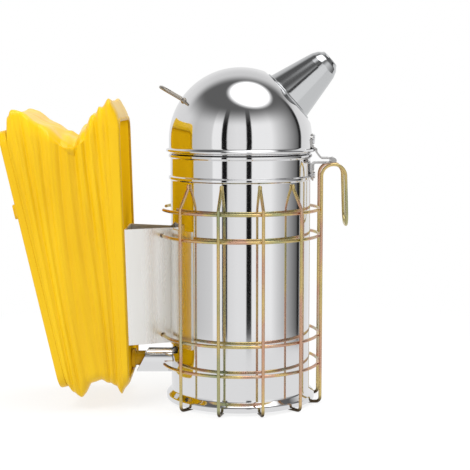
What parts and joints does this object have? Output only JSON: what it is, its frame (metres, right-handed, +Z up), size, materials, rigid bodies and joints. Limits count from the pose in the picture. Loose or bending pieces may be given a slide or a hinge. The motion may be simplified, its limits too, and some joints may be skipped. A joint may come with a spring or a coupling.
{
  "type": "bee smoker",
  "caption": "Hand-held bee smoker: polished can with a wire guard and hanging hook, hinged dome lid with an angled spout, a lift-out grate, and a wedge bellows that blows through a side inlet.",
  "frame": {"origin": "on the can's axis, at the surface the smoker stands on", "axes": "+Z up along the can's axis, +X towards the spout and the hanging hook, bellows on the -X side"},
  "size_m": [0.2457, 0.1176, 0.2542],
  "materials": {
    "polished_steel": "mirror polished stainless sheet",
    "brushed_steel": "brushed stainless sheet",
    "galvanised_sheet": "dull zinc coated sheet",
    "hinge_steel": "satin",
    "zinc_screw": "zinc plated",
    "spring_steel": "zinc plated",
    "rivet": "satin",
    "guard_wire": "yellow passivated, faintly iridescent",
    "yellow_board": "gloss",
    "yellow_vinyl": "gloss"
  },
  "bodies": {
    "smoker": {"can_body": "polished_steel", "can_base": "polished_steel", "air_inlet_tube": "polished_steel", "bellows_bracket": "galvanised_sheet", "bracket_screws": "zinc_screw", "hinge_leaf_can": "hinge_steel", "hinge_rivets_can": "rivet", "hinge_pin": "hinge_steel", "guard_hook": "guard_wire", "guard_ring_1": "guard_wire", "guard_ring_2": "guard_wire", "guard_ring_3": "guard_wire", "guard_ring_4": "guard_wire", "guard_upright_1": "guard_wire", "guard_upright_2": "guard_wire", "guard_upright_3": "guard_wire", "guard_upright_4": "guard_wire", "guard_upright_5": "guard_wire", "guard_upright_6": "guard_wire", "guard_upright_7": "guard_wire", "guard_upright_8": "guard_wire", "front_board": "yellow_board", "front_frame": "yellow_vinyl", "outlet_nozzle": "yellow_vinyl", "front_spring_cup": "spring_steel", "return_spring": "spring_steel", "bellows_skin": "yellow_vinyl"},
    "lid": {"lid_dome": "polished_steel", "spout": "polished_steel", "lift_wire": "guard_wire", "hinge_leaf_lid": "hinge_steel", "hinge_rivets_lid": "rivet"},
    "squeeze_board": {"outer_board": "yellow_board", "outer_frame": "yellow_vinyl", "finger_stop": "yellow_vinyl", "finger_stop_screws": "zinc_screw", "outer_spring_cup": "spring_steel"},
    "grate": {"grate": "brushed_steel"}
  },
  "joints": [
    {"name": "lid_hinge", "type": "hinge", "parent": "smoker", "child": "lid", "pos_m": [0.067, 0, 0.1765], "axis": [0, 1, 0], "range_deg": [0, 105]},
    {"name": "bellows_squeeze", "type": "hinge", "parent": "smoker", "child": "squeeze_board", "pos_m": [-0.12058, 0, 0.01986], "axis": [0, 1, 0], "range_deg": [0, 10], "stiffness_Nm_per_rad": 3, "springref_deg": -11.46, "deforming": ["return_spring", "bellows_skin"]},
    {"name": "grate_lift", "type": "slide", "parent": "smoker", "child": "grate", "axis": [0, 0, 1], "range_m": [0, 0.15]}
  ]
}
